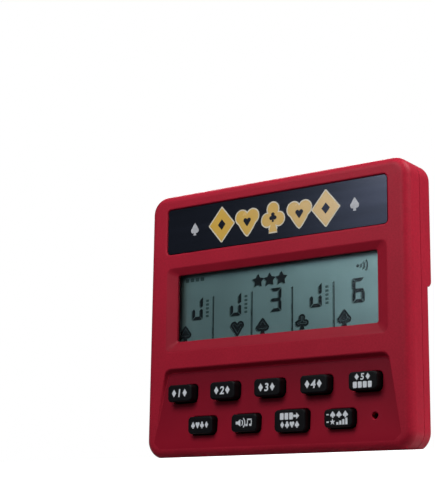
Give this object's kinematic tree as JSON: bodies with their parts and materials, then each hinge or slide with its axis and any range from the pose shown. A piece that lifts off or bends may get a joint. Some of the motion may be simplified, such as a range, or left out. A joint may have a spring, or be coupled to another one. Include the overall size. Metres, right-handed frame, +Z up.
{
  "type": "handheld electronic card game",
  "caption": "Flat hand-held electronic card game with a banner panel, a recessed display, rubber keys in a sloping hollow and a sliding battery door.",
  "frame": {"origin": "middle of the footprint, on the surface the object stands on", "axes": "+Z up from the lower edge to the upper edge, -Y out of the front face, +X to the right seen from the front"},
  "size_m": [0.1, 0.0172, 0.09],
  "materials": {
    "case_red": "satin",
    "banner": "gloss",
    "window": "gloss",
    "black_foam": "matte",
    "lcd_glass": "gloss",
    "reflector": "satin",
    "white_plastic": "matte",
    "connector_rubber": "matte",
    "board": "satin",
    "resin": "gloss",
    "component": "satin",
    "key_rubber": "matte",
    "carbon": "matte",
    "switch_body": "satin",
    "switch_tip": "matte",
    "brass": "satin",
    "ceramic": "satin",
    "lead_insulation": "satin",
    "lead_dark": "satin",
    "battery_wrap": "gloss",
    "contact_steel": "satin",
    "screw_steel": "satin"
  },
  "bodies": {
    "case": {"front_shell": "case_red", "back_shell": "case_red", "banner_panel": "banner", "display_window": "window", "display_gasket": "black_foam", "lcd_front_glass": "lcd_glass", "lcd_rear_glass": "lcd_glass", "lcd_reflector": "reflector", "display_frame": "white_plastic", "contact_strip": "connector_rubber", "circuit_board": "board", "chip_cover": "resin", "resistor": "component", "capacitors": "component", "keypad_sheet": "key_rubber", "reset_switch": "switch_body", "buzzer_disc": "brass", "buzzer_ceramic": "ceramic", "buzzer_leads": "lead_insulation", "battery_upper": "battery_wrap", "battery_lower": "battery_wrap", "contact_bridge": "contact_steel", "contact_positive": "contact_steel", "contact_negative": "contact_steel", "lead_red": "lead_insulation", "lead_black": "lead_dark", "case_screws": "screw_steel", "board_screws": "screw_steel"},
    "battery_door": {"battery_door": "case_red"},
    "reset_plunger": {"reset_plunger": "switch_tip"},
    "key_1": {"key_1": "key_rubber", "pill_1": "carbon"},
    "key_2": {"key_2": "key_rubber", "pill_2": "carbon"},
    "key_3": {"key_3": "key_rubber", "pill_3": "carbon"},
    "key_4": {"key_4": "key_rubber", "pill_4": "carbon"},
    "key_5": {"key_5": "key_rubber", "pill_5": "carbon"},
    "key_game": {"key_game": "key_rubber", "pill_game": "carbon"},
    "key_sound": {"key_sound": "key_rubber", "pill_sound": "carbon"},
    "key_deal": {"key_deal": "key_rubber", "pill_deal": "carbon"},
    "key_score": {"key_score": "key_rubber", "pill_score": "carbon"}
  },
  "joints": [
    {"name": "battery_door_slide", "type": "slide", "parent": "case", "child": "battery_door", "axis": [0, 0, 1], "range_m": [0, 0.027]},
    {"name": "key_1_press", "type": "slide", "parent": "case", "child": "key_1", "axis": [0, 1, 0], "range_m": [0, 0.0009], "stiffness_N_per_m": 1200},
    {"name": "key_2_press", "type": "slide", "parent": "case", "child": "key_2", "axis": [0, 1, 0], "range_m": [0, 0.0009], "stiffness_N_per_m": 1200},
    {"name": "key_3_press", "type": "slide", "parent": "case", "child": "key_3", "axis": [0, 1, 0], "range_m": [0, 0.0009], "stiffness_N_per_m": 1200},
    {"name": "key_4_press", "type": "slide", "parent": "case", "child": "key_4", "axis": [0, 1, 0], "range_m": [0, 0.0009], "stiffness_N_per_m": 1200},
    {"name": "key_5_press", "type": "slide", "parent": "case", "child": "key_5", "axis": [0, 1, 0], "range_m": [0, 0.0009], "stiffness_N_per_m": 1200},
    {"name": "key_game_press", "type": "slide", "parent": "case", "child": "key_game", "axis": [0, 1, 0], "range_m": [0, 0.0009], "stiffness_N_per_m": 1200},
    {"name": "key_sound_press", "type": "slide", "parent": "case", "child": "key_sound", "axis": [0, 1, 0], "range_m": [0, 0.0009], "stiffness_N_per_m": 1200},
    {"name": "key_deal_press", "type": "slide", "parent": "case", "child": "key_deal", "axis": [0, 1, 0], "range_m": [0, 0.0009], "stiffness_N_per_m": 1200},
    {"name": "key_score_press", "type": "slide", "parent": "case", "child": "key_score", "axis": [0, 1, 0], "range_m": [0, 0.0009], "stiffness_N_per_m": 1200},
    {"name": "reset_press", "type": "slide", "parent": "case", "child": "reset_plunger", "axis": [0, 1, 0], "range_m": [0, 0.00025], "stiffness_N_per_m": 5000}
  ]
}
